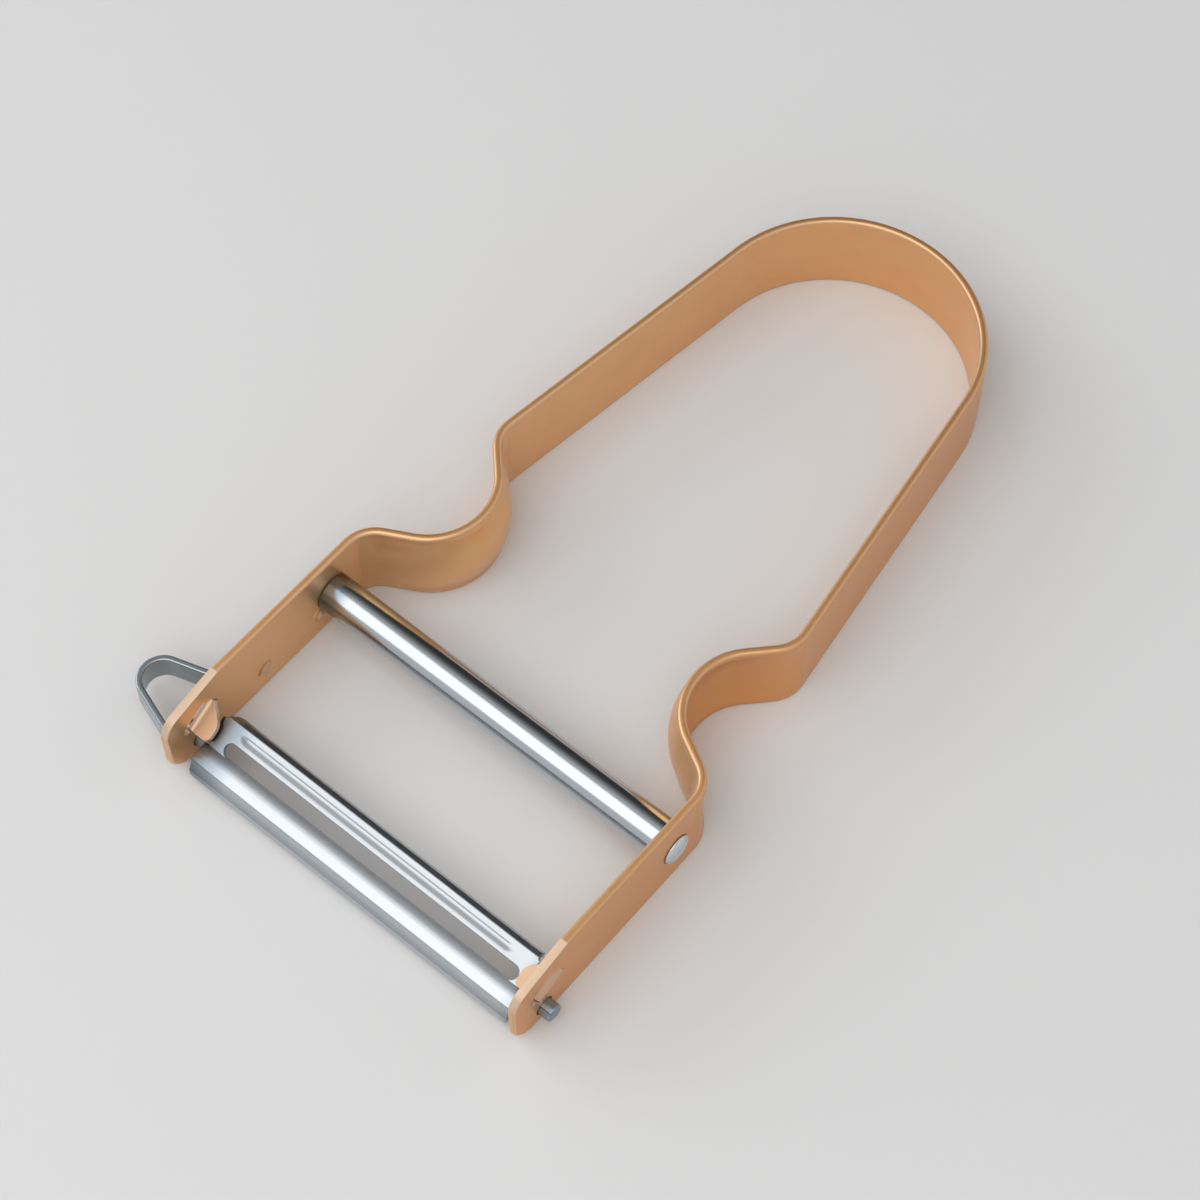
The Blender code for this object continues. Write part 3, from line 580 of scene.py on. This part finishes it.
copper = Finish("copper_anodised")
flat_place = copper.flat_place()
drawn = copper.grain(flat_place, (0.25, 6, 6), 3)
speckle = copper.noise(flat_place, 9.0, 2)
cloud = copper.noise(flat_place, 0.22, 2)
tone = copper.mix(cloud, tint(232, 179, 126), tint(240, 189, 136))
tone = copper.mix(drawn * 0.3, tone, tint(217, 160, 106))
# Painted shade: the strip's outer face is painted darker and more orange than its inner face.
outer_face_painted_shade = 0.5 - 2 * copper.axis(flat_place, 2)
tone = copper.mix(outer_face_painted_shade, tone, (0.91, 0.79, 0.67, 1), "MULTIPLY")
# Painted pale where the sheared value is set, and less metallic: bare cut metal with painted highlight on
# the sheared edges, a painted highlight line along the rolled edges and painted highlight over the stop
# ears.
sheared = copper.node("ShaderNodeAttribute", {"attribute_name": "sheared"}, {}, 2)
tone = copper.mix(sheared * 0.7, tone, tint(196, 180, 162))
# Each clinch dome gets a greyer patch a little off its middle, and painted shade in patches round its rim.
for clinch_y in CLINCH_YS:
    middle = (on_leg(-1, clinch_y) / MM + 0.15, CLINCH_Z / MM - 0.1, STRIP_THICKNESS / 2 / MM)
    off_middle = copper.node("ShaderNodeVectorMath", {"operation": "DISTANCE"}, {0: flat_place, 1: middle})
    spread = off_middle * 0.4
    button = copper.ramp(spread, (0.0, (0.8, 0.8, 0.8)), (0.3, (0.7, 0.7, 0.7)), (0.36, (0, 0, 0)))
    tone = copper.mix(button, tone, tint(188, 170, 162))
    dome_rim_painted_shade = copper.ramp(spread, (0.36, (0, 0, 0)), (0.42, (1, 1, 1)), (0.5, (0, 0, 0)))
    tone = copper.mix(dome_rim_painted_shade * cloud, tone, tint(112, 78, 58))
copper.paint(base_color=tone, metallic=0.8 - 0.45 * sheared,
             roughness=0.28 + 0.08 * speckle + 0.04 * drawn,
             normal=copper.relief(speckle + 0.6 * drawn, 0.10, 0.02 * MM))
handle.data.materials.append(copper.material)
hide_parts("handle_frame")
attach(handle, "handle")

# The side loop
# A narrow strip of bare steel for digging out potato eyes. Its lug sits under the rivet's left head, its
# long foot is clinched to the leg at two places, and its free end comes back to the leg.
SNUG = 0.02 * MM
LOOP_WIDTH = 3.85 * MM
LOOP_THICKNESS = 0.8 * MM
LOOP_REACH = 9.15 * MM
LOOP_NOSE_RADIUS = 2.8 * MM
LOOP_EDGE = 0.24 * MM
LUG_RADIUS = 2.7 * MM
DIMPLE_RADIUS = 1.1 * MM


def sheet_blank(outlines, thickness, edge, edge_steps):
    """A flat blank with evenly rounded edges. The first outline is its rim, the rest are holes."""
    drawn = bpy.data.curves.new("blank", "CURVE")
    drawn.dimensions = "2D"
    drawn.fill_mode = "BOTH"
    drawn.extrude = thickness / 2 - edge
    drawn.bevel_depth = edge
    drawn.bevel_resolution = edge_steps
    drawn.offset = -edge
    for outline in outlines:
        spline = drawn.splines.new("POLY")
        spline.points.add(len(outline) - 1)
        for point, (a, b) in zip(spline.points, outline):
            point.co = (a, b, 0, 1)
        spline.use_cyclic_u = True
    blank = bpy.data.objects.new("blank", drawn)
    bpy.context.scene.collection.objects.link(blank)
    bpy.context.view_layer.update()
    mesh = bpy.data.meshes.new_from_object(blank.evaluated_get(bpy.context.evaluated_depsgraph_get()))
    shape = bmesh.new()
    shape.from_mesh(mesh)
    bmesh.ops.remove_doubles(shape, verts=shape.verts, dist=WELD)
    bpy.data.objects.remove(blank, do_unlink=True)
    bpy.data.curves.remove(drawn)
    bpy.data.meshes.remove(mesh)
    return shape


foot_x = -(OUTER_FACE_X + SNUG + LOOP_THICKNESS / 2)
loop_top = Vector((foot_x, 6.4 * MM))
loop_end = Vector((-(OUTER_FACE_X + 0.67 * MM), -3.2 * MM))
nose = Vector((-(OUTER_FACE_X + LOOP_REACH) + LOOP_NOSE_RADIUS, (loop_top.y + loop_end.y) / 2))
loop_line = BentLine([(foot_x, BAR_Y, 0), (*loop_top, 0.9 * MM),
                      (*tangent_corner(loop_top, loop_end, nose, LOOP_NOSE_RADIUS), LOOP_NOSE_RADIUS),
                      (*loop_end, 0)])
loop_low = CLINCH_Z - LOOP_WIDTH / 2
loop_high = CLINCH_Z + LOOP_WIDTH / 2
lug_start = math.asin((loop_high - BAR_Z) / LUG_RADIUS)
lug = arc(0, BAR_Z, LUG_RADIUS, lug_start, 1.5 * math.pi - lug_start, 30)
loop_rim = rounded([(0, loop_low, 1.2 * MM), (loop_line.length, loop_low, 0.6 * MM),
                    (loop_line.length, loop_high, 0.6 * MM)] + [(a, b, 0) for a, b in lug])
loop_shape = sheet_blank([loop_rim, ring(0, BAR_Z, RIVET_HOLE_RADIUS)], LOOP_THICKNESS, LOOP_EDGE, 3)
score(loop_shape, LENGTHWISE, loop_line.stations(math.radians(4), 0.5 * MM))
for clinch_y in CLINCH_YS:
    score_clinch(loop_shape, BAR_Y - clinch_y, DIMPLE_RADIUS)


def bend_loop(flat):
    """Bends points of the flat loop to its place on the left leg. Thickness runs away from the leg."""
    s, z, t = flat.T
    x, y, heading = loop_line.at(s)
    widen = CLINCH_RADIUS / DIMPLE_RADIUS
    for clinch_y in CLINCH_YS:
        t = t - CLINCH_RISE * dome((s - BAR_Y + clinch_y) * widen, (z - CLINCH_Z) * widen)
    return np.stack([x + np.sin(heading) * t + swivel.x, y - np.cos(heading) * t + swivel.y, z], axis=1)


loop = formed("side_loop", loop_shape, bend_loop)
loop_steel = Finish("loop_steel", metallic=1.0)
flat_place = loop_steel.flat_place()
drawn = loop_steel.grain(flat_place, (0.3, 14, 14), 3)
pits = loop_steel.noise(flat_place, 7.0, 2)
loop_steel.paint(base_color=loop_steel.mix(drawn, tint(148, 158, 163), tint(172, 180, 185)),
                 roughness=0.18 + 0.12 * pits,
                 normal=loop_steel.relief(drawn + 0.4 * pits, 0.15, 0.02 * MM))
loop.data.materials.append(loop_steel.material)
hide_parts("eye_loop")
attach(loop, "handle")

# The crossbar
# A bright drawn steel tube that keeps the legs apart. Its faced ends stand against the legs, and the long
# rivet runs through it.
BAR_RADIUS = 2.56 * MM
BAR_EDGE = 0.22 * MM
BORE_RADIUS = 1.7 * MM


def turned(name, profile, steps):
    """A round piece on the crossbar's axis, from (distance along X, radius) points."""
    shape = bmesh.new()
    row = [shape.verts.new((along, 0, radius)) for along, radius in profile]
    edges = [shape.edges.new(pair) for pair in zip(row, row[1:])]
    bmesh.ops.spin(shape, geom=row + edges, cent=(0, 0, 0), axis=(1, 0, 0), angle=2 * math.pi, steps=steps,
                   use_merge=True)
    bmesh.ops.remove_doubles(shape, verts=shape.verts, dist=WELD)
    centre = np.array((swivel.x, swivel.y + BAR_Y, BAR_Z))
    return formed(name, shape, lambda points: points + centre)


bar_end = INNER_FACE_X - SNUG
bar_rim = arc(bar_end - BAR_EDGE, BAR_RADIUS - BAR_EDGE, BAR_EDGE, 0, math.pi / 2, 5)
half_bar = [(bar_end, BORE_RADIUS)] + bar_rim
other_half = [(-along, radius) for along, radius in reversed(half_bar)]
bar = turned("crossbar_tube", half_bar + other_half + half_bar[:1], 96)
bar_steel = Finish("bright_tube", metallic=1.0)
flat_place = bar_steel.flat_place()
drawn = bar_steel.grain(flat_place, (0.12, 9, 9), 4)
haze = bar_steel.noise(flat_place, 1.3, 2)
# Painted shade: both ends of the tube are painted darker and bluer, where they stand against the legs.
ends = bar_steel.ramp(bar_steel.axis(flat_place, 0) * 0.019 + 0.5, (0.0, (0.26, 0.30, 0.34)),
                      (0.045, (0.5, 0.56, 0.61)), (0.075, (1, 1, 1)), (1.0, (1, 1, 1)))
steel = bar_steel.mix(drawn, tint(182, 188, 193), tint(202, 207, 211))
bar_steel.paint(base_color=bar_steel.mix(1.0, steel, ends, "MULTIPLY"),
                roughness=0.12 + 0.07 * drawn + 0.04 * haze,
                normal=bar_steel.relief(drawn, 0.08, 0.01 * MM))
bar.data.materials.append(bar_steel.material)
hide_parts("crossbar")
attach(bar, "handle")

# The long rivet
# A steel rivet through the legs, the loop's lug and the crossbar. Each end is peened to a low dome with a
# small dimple in it.
RIVET_RADIUS = 1.4 * MM
HEAD_RADIUS = 2.12 * MM
HEAD_RISE = 0.76 * MM
HEAD_DIMPLE = 0.16 * MM
HEAD_DIMPLE_RADIUS = 0.6 * MM


def head_profile(seat):
    """Points of a peened head from its dimple to the shank, standing on a seat along X."""
    points = []
    for share in np.linspace(0, 1, 17):
        radius = HEAD_RADIUS * share
        dimple = HEAD_DIMPLE * math.exp(-(radius / HEAD_DIMPLE_RADIUS) ** 2)
        points.append((seat + max(HEAD_RISE * (1 - share ** 2.2) ** 0.6 - dimple, 0.0), radius))
    return points + [(seat, RIVET_RADIUS)]


right_head = head_profile(OUTER_FACE_X + SNUG / 2)
left_head = head_profile(OUTER_FACE_X + 2 * SNUG + LOOP_THICKNESS)
rivet = turned("long_rivet", right_head + [(-along, radius) for along, radius in reversed(left_head)], 72)
rivet_steel = Finish("rivet_steel", metallic=1.0)
flat_place = rivet_steel.flat_place()
hammer = rivet_steel.noise(flat_place, 0.7, 1)
scuff = rivet_steel.noise(flat_place, 8.0, 3)
rivet_steel.paint(base_color=rivet_steel.mix(scuff, tint(196, 205, 211), tint(226, 232, 236)),
                  roughness=0.16 + 0.14 * scuff,
                  normal=rivet_steel.relief(hammer + 0.02 * scuff, 0.7, 0.6 * MM))
rivet.data.materials.append(rivet_steel.material)
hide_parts("crossbar_rivet")
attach(rivet, "handle")

# The blade
# One sheet of hardened steel: slotted, beaded, crowned over the cutting edge, hemmed down along the back
# and ground to an edge at the lip. A tab at each end is rolled into a journal that turns in the leg's hole.
PLATE_THICKNESS = 0.6 * MM
PLATE_EDGE = 0.06 * MM
PLATE_MIDDLE_W = 1.95 * MM
BLADE_HALF_LENGTH = 24.6 * MM
BLADE_SHIFT = 0.2 * MM
FOLD_X = 24.0 * MM
FOLD_RADIUS = 0.4 * MM
FOLD_ARC = FOLD_RADIUS * math.radians(84)
TAB_HALF_LENGTH = FOLD_X + FOLD_ARC + 0.6 * MM
DROOP_X = 21 * MM
DROOP_RUN = 3 * MM
DROOP = 0.12 * MM
FLAT_CORNER_U = 0.164 * MM
SLOT_NEAR_U = 0.28 * MM
SLOT_FAR_U = 2.16 * MM
SLOT_LEFT_X = -22.1 * MM
SLOT_RIGHT_X = 23.05 * MM
HEM_CORNER_U = 4.26 * MM
LIP_LENGTH = 1.0 * MM
LIP_SHARE = 0.65
BEAD_U = 3.46 * MM
BEAD_FRONT = 0.95 * MM
BEAD_BACK = 0.45 * MM
BEAD_RISE = 0.13 * MM
BEAD_HALF_LENGTH = 19.9 * MM
BEAD_END = 1.4 * MM
blade_line = BentLine([
    (-4.10 * MM, -1.22 * MM, 0),
    (-3.478 * MM, -0.442 * MM, 0.12 * MM),
    (-2.62 * MM, 0.27 * MM, 1.5 * MM),
    (-2.14 * MM, 0.80 * MM, 0.12 * MM),
    (-0.95 * MM, 0.70 * MM, 4.3 * MM),
    (FLAT_CORNER_U, 0, 0.12 * MM),
    (HEM_CORNER_U, 0, 0.14 * MM),
    (4.66 * MM, -0.42 * MM, 0.3 * MM),
    (4.74 * MM, -0.95 * MM, 0),
])
flat_corner_start, flat_corner_arc, _ = blade_line.bends[4]


def on_plate(u):
    """Length along the blade's section at a place on its flat back band."""
    return flat_corner_start + flat_corner_arc / 2 + u - FLAT_CORNER_U


def blade_end(side):
    """Half of the blank's outline, from the lip to the back, with the tab that turns down."""
    hem_cut = 0.2 * MM if side > 0 else 1.5 * MM
    half = [
        (BLADE_HALF_LENGTH - 0.15 * MM, 0),
        (BLADE_HALF_LENGTH, 0.25 * MM),
        (BLADE_HALF_LENGTH, on_plate(0.10 * MM)),
        (FOLD_X - 0.02 * MM, on_plate(0.22 * MM)),
        (FOLD_X - 0.02 * MM, on_plate(0.50 * MM)),
        (TAB_HALF_LENGTH, on_plate(0.62 * MM)),
        (TAB_HALF_LENGTH, on_plate(3.6 * MM)),
        (FOLD_X, on_plate(4.15 * MM)),
        (FOLD_X - 0.15 * MM, on_plate(HEM_CORNER_U)),
        (FOLD_X - hem_cut, blade_line.length),
    ]
    return [(side * x, v) for x, v in half]


slot_end_radius = (SLOT_FAR_U - SLOT_NEAR_U) / 2 - 0.01 * MM
slot_rim = rounded([(x, on_plate(u), slot_end_radius) for x, u in (
    (SLOT_LEFT_X, SLOT_NEAR_U), (SLOT_RIGHT_X, SLOT_NEAR_U),
    (SLOT_RIGHT_X, SLOT_FAR_U), (SLOT_LEFT_X, SLOT_FAR_U))])
blade_shape = sheet_blank([blade_end(1) + blade_end(-1)[::-1], slot_rim], PLATE_THICKNESS, PLATE_EDGE, 2)
score(blade_shape, CROSSWISE, blade_line.stations(math.radians(4), 0.12 * MM))
score(blade_shape, CROSSWISE, [LIP_LENGTH - 0.05 * MM, LIP_LENGTH + 0.05 * MM])
score(blade_shape, CROSSWISE, [on_plate(BEAD_U) + reach * k / 7
                               for reach in (-BEAD_FRONT, BEAD_BACK) for k in range(8)])
for start, step, count in ((BEAD_HALF_LENGTH, BEAD_END / 6, 7), (DROOP_X, 0.4 * MM, 8),
                           (FOLD_X, FOLD_ARC / 7, 8)):
    score(blade_shape, LENGTHWISE, [side * (start + step * k) for side in (-1, 1) for k in range(count)])


def tilt_up(x, u, w):
    """Points in the frame from places on the blade's own tilted axes through the swivel."""
    y, z = tilted(u, w)
    return np.stack([swivel.x + BLADE_SHIFT + x, swivel.y + y, z], axis=1)


def bend_blade(flat):
    """Forms points of the flat blade: its section, the ground lip, the bead and the tabs turned down."""
    x, v, t = flat.T
    u, w, heading = blade_line.at(v)
    reach = np.where(v < on_plate(BEAD_U), BEAD_FRONT, BEAD_BACK)
    past = np.clip(np.abs(x) - BEAD_HALF_LENGTH, 0, None) / BEAD_END
    off = np.sqrt(past ** 2 + ((v - on_plate(BEAD_U)) / reach) ** 2)
    t = (t * (np.clip(v / LIP_LENGTH, 0, 1) * (1 - LIP_SHARE) + LIP_SHARE)
         + BEAD_RISE * np.cos(np.clip(off, 0, 1) * math.pi / 2) ** 2)
    beyond = np.where(v > on_plate(0.4 * MM), np.clip(np.abs(x) - FOLD_X, 0, None), 0)
    fold = np.clip(beyond, 0, FOLD_ARC) / FOLD_RADIUS
    straight = np.clip(beyond - FOLD_ARC, 0, None)
    out = (FOLD_RADIUS + t) * np.sin(fold) + straight * np.cos(fold)
    down = FOLD_RADIUS * (1 - np.cos(fold)) + straight * np.sin(fold)
    down = down + DROOP * (np.clip(np.abs(x) - beyond - DROOP_X, 0, None) / DROOP_RUN) ** 2
    return tilt_up(np.sign(x) * (np.abs(x) - beyond + out), u - np.sin(heading) * t,
                   w + np.cos(heading) * t * np.cos(fold) - down + PLATE_MIDDLE_W)


blade = formed("peeling_blade", blade_shape, bend_blade)

# The journals: the blade's end tabs, each rolled to a pin with an open seam
JOURNAL_RADIUS = 1.16 * MM
JOURNAL_CORE = 0.08 * MM
JOURNAL_EDGE = 0.03 * MM
JOURNAL_END_ROUND = 0.3 * MM
SEAM = 0.06 * MM
SEAM_ANGLE = math.radians(98)
journal_start = BLADE_HALF_LENGTH - 0.9 * MM
journal_end = OUTER_FACE_X + 1.4 * MM
roll_radius = (JOURNAL_RADIUS + JOURNAL_CORE) / 2
roll_width = (2 * math.pi - SEAM / JOURNAL_RADIUS) * roll_radius


def roll_journal(flat):
    """Rolls points of a flat tab into a journal, its seam towards the raised side and its end rounded."""
    x, a, t = flat.T
    angle = SEAM_ANGLE + SEAM / JOURNAL_RADIUS / 2 + a / roll_radius
    near_end = np.clip(1 - (journal_end - np.abs(x)) / JOURNAL_END_ROUND, 0, 1)
    widest = JOURNAL_RADIUS - JOURNAL_END_ROUND * (1 - np.sqrt(1 - near_end ** 2))
    radius = (roll_radius - t) * widest / JOURNAL_RADIUS
    return tilt_up(x, radius * np.cos(angle), radius * np.sin(angle))


journals = []
for side, label in ((-1, "left"), (1, "right")):
    ends = sorted((side * journal_start, side * journal_end))
    tab_rim = [(ends[0], 0), (ends[1], 0), (ends[1], roll_width), (ends[0], roll_width)]
    tab = sheet_blank([tab_rim], JOURNAL_RADIUS - JOURNAL_CORE, JOURNAL_EDGE, 1)
    score(tab, CROSSWISE, [roll_width * k / 60 for k in range(1, 60)])
    score(tab, LENGTHWISE, [side * (journal_end - JOURNAL_END_ROUND * (1 - math.sin(k * math.pi / 14)))
                            for k in range(7)])
    journals.append(formed(f"{label}_journal", tab, roll_journal))
blade_steel = Finish("blade_steel", metallic=1.0)
flat_place = blade_steel.flat_place()
brushed = blade_steel.grain(flat_place, (0.1, 10, 10), 4)
bloom = blade_steel.noise(flat_place, 0.6, 2)
# Painted shade across the section: darker just past the lip's root, easing back by the next bend, full up to
# the crown, and a little darker from the crown to the back.
section_painted_shade = blade_steel.ramp(blade_steel.axis(flat_place, 1) * 0.25, (0.24, (1, 1, 1)),
                           (0.26, (0.72, 0.72, 0.74)), (0.45, (0.88, 0.88, 0.89)), (0.55, (1, 1, 1)),
                           (0.95, (1, 1, 1)), (1.0, (0.88, 0.88, 0.88)))
# Painted shade: both ends of the blade are painted darker and bluer, the left end more.
ends_painted_shade = blade_steel.ramp(blade_steel.axis(flat_place, 0) * 0.02 + 0.5, (0.0, (0.30, 0.34, 0.38)),
                        (0.07, (0.62, 0.68, 0.73)), (0.12, (1, 1, 1)), (0.96, (1, 1, 1)),
                        (1.0, (0.72, 0.76, 0.80)))
steel = blade_steel.mix(brushed, tint(182, 187, 191), tint(200, 204, 208))
steel = blade_steel.mix(1.0, steel, section_painted_shade, "MULTIPLY")
blade_steel.paint(base_color=blade_steel.mix(1.0, steel, ends_painted_shade, "MULTIPLY"),
                  roughness=0.19 + 0.08 * brushed + 0.05 * bloom,
                  normal=blade_steel.relief(brushed, 0.08, 0.01 * MM))
blade.data.materials.append(blade_steel.material)
# Painted shade: the journals are painted darker and bluer than the blade steel they are rolled from.
journal_steel_painted_shade = Finish("journal_steel_painted_shade", metallic=1.0)
rubbed = journal_steel_painted_shade.grain(journal_steel_painted_shade.flat_place(), (1, 4, 4), 3)
journal_steel_painted_shade.paint(base_color=journal_steel_painted_shade.mix(rubbed, tint(128, 146, 160), tint(160, 173, 185)),
                    roughness=0.28 + 0.14 * rubbed,
                    normal=journal_steel_painted_shade.relief(rubbed, 0.15, 0.02 * MM))
for piece in journals:
    piece.data.materials.append(journal_steel_painted_shade.material)
for piece in [blade] + journals:
    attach(piece, "blade")
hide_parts("blade")

# The floor and the light
# A plain pale floor under the peeler, and over it two soft studio lamps and a card that darkens downwards,
# which the bright metal mirrors. None of them is part of the object.
FLOOR_HALF_SIZE = 3.0
CARD_HALF_SIZE = 0.5


def plain_square(name, half_size, finish):
    """A flat square for the studio, from its half size in metres."""
    shape = bmesh.new()
    bmesh.ops.create_grid(shape, x_segments=1, y_segments=1, size=half_size)
    mesh = bpy.data.meshes.new(name)
    shape.to_mesh(mesh)
    shape.free()
    mesh.materials.append(finish.material)
    made = bpy.data.objects.new(name, mesh)
    bpy.context.scene.collection.objects.link(made)
    return made


pale = Finish("pale_floor", base_color=tint(218, 218, 218), roughness=0.7)
floor = plain_square("floor", FLOOR_HALF_SIZE, pale)

world = bpy.data.worlds.new("studio")
world.use_nodes = True
world.node_tree.nodes["Background"].inputs["Color"].default_value = (0.8, 0.8, 0.8, 1)
world.node_tree.nodes["Background"].inputs["Strength"].default_value = 0.86
bpy.context.scene.world = world


def lamp(name, place, size, watts):
    """A soft rectangular lamp, aimed at the middle of the peeler."""
    light = bpy.data.lights.new(name, "AREA")
    light.shape = "RECTANGLE"
    light.size, light.size_y = size
    light.energy = watts
    made = bpy.data.objects.new(name, light)
    bpy.context.scene.collection.objects.link(made)
    made.location = place
    made.rotation_euler = (-made.location).to_track_quat("-Z", "Y").to_euler()


lamp("softbox", (0, -0.39, 0.70), (0.95, 0.8), 2.85)
lamp("fill", (-0.75, -0.25, 0.38), (0.6, 0.5), 1.7)

graded = Finish("graded_card", roughness=0.9)
up_card = graded.axis(graded.node("ShaderNodeTexCoord", {}, {}), 1)
greys = ((0.0, 0.07), (0.2, 0.04), (0.4, 0.05), (0.52, 0.14), (0.62, 0.32), (0.75, 0.6), (1.0, 0.95))
stops = [(position, (grey, grey, grey)) for position, grey in greys]
graded.paint(base_color=graded.ramp(up_card, *stops))
flag = plain_square("flag", CARD_HALF_SIZE, graded)
flag.location = (-0.24, 0.455, 0.612)
flag.scale = (0.7, 1.24, 1)
flag.rotation_euler = (-flag.location).to_track_quat("Z", "Y").to_euler()
flag.visible_camera = False

# The camera
# It looks from the photograph's side, height and distance, a little rolled. Its lens gives the object the
# photograph's size in the frame.
AZIMUTH = math.radians(39.65)
ELEVATION = math.radians(59.9)
ROLL = math.radians(0.37)
DISTANCE = 385.63 * MM
AIM = Vector((3.42 * MM, -7.74 * MM, 6.25 * MM))
FILM_WIDTH_MM = 36
LENS_MM = 96.6328
camera_data = bpy.data.cameras.new("camera")
camera_data.sensor_width = FILM_WIDTH_MM
camera_data.lens = LENS_MM
camera = bpy.data.objects.new("camera", camera_data)
bpy.context.scene.collection.objects.link(camera)
back = Vector((math.sin(AZIMUTH) * math.cos(ELEVATION), -math.cos(AZIMUTH) * math.cos(ELEVATION),
               math.sin(ELEVATION)))
camera.location = AIM + back * DISTANCE
camera.rotation_mode = "QUATERNION"
camera.rotation_quaternion = ((-back).to_track_quat("-Z", "Y").to_matrix()
                              @ Matrix.Rotation(ROLL, 3, "Z")).to_quaternion()
bpy.context.scene.camera = camera
bpy.context.scene.view_settings.view_transform = "Standard"
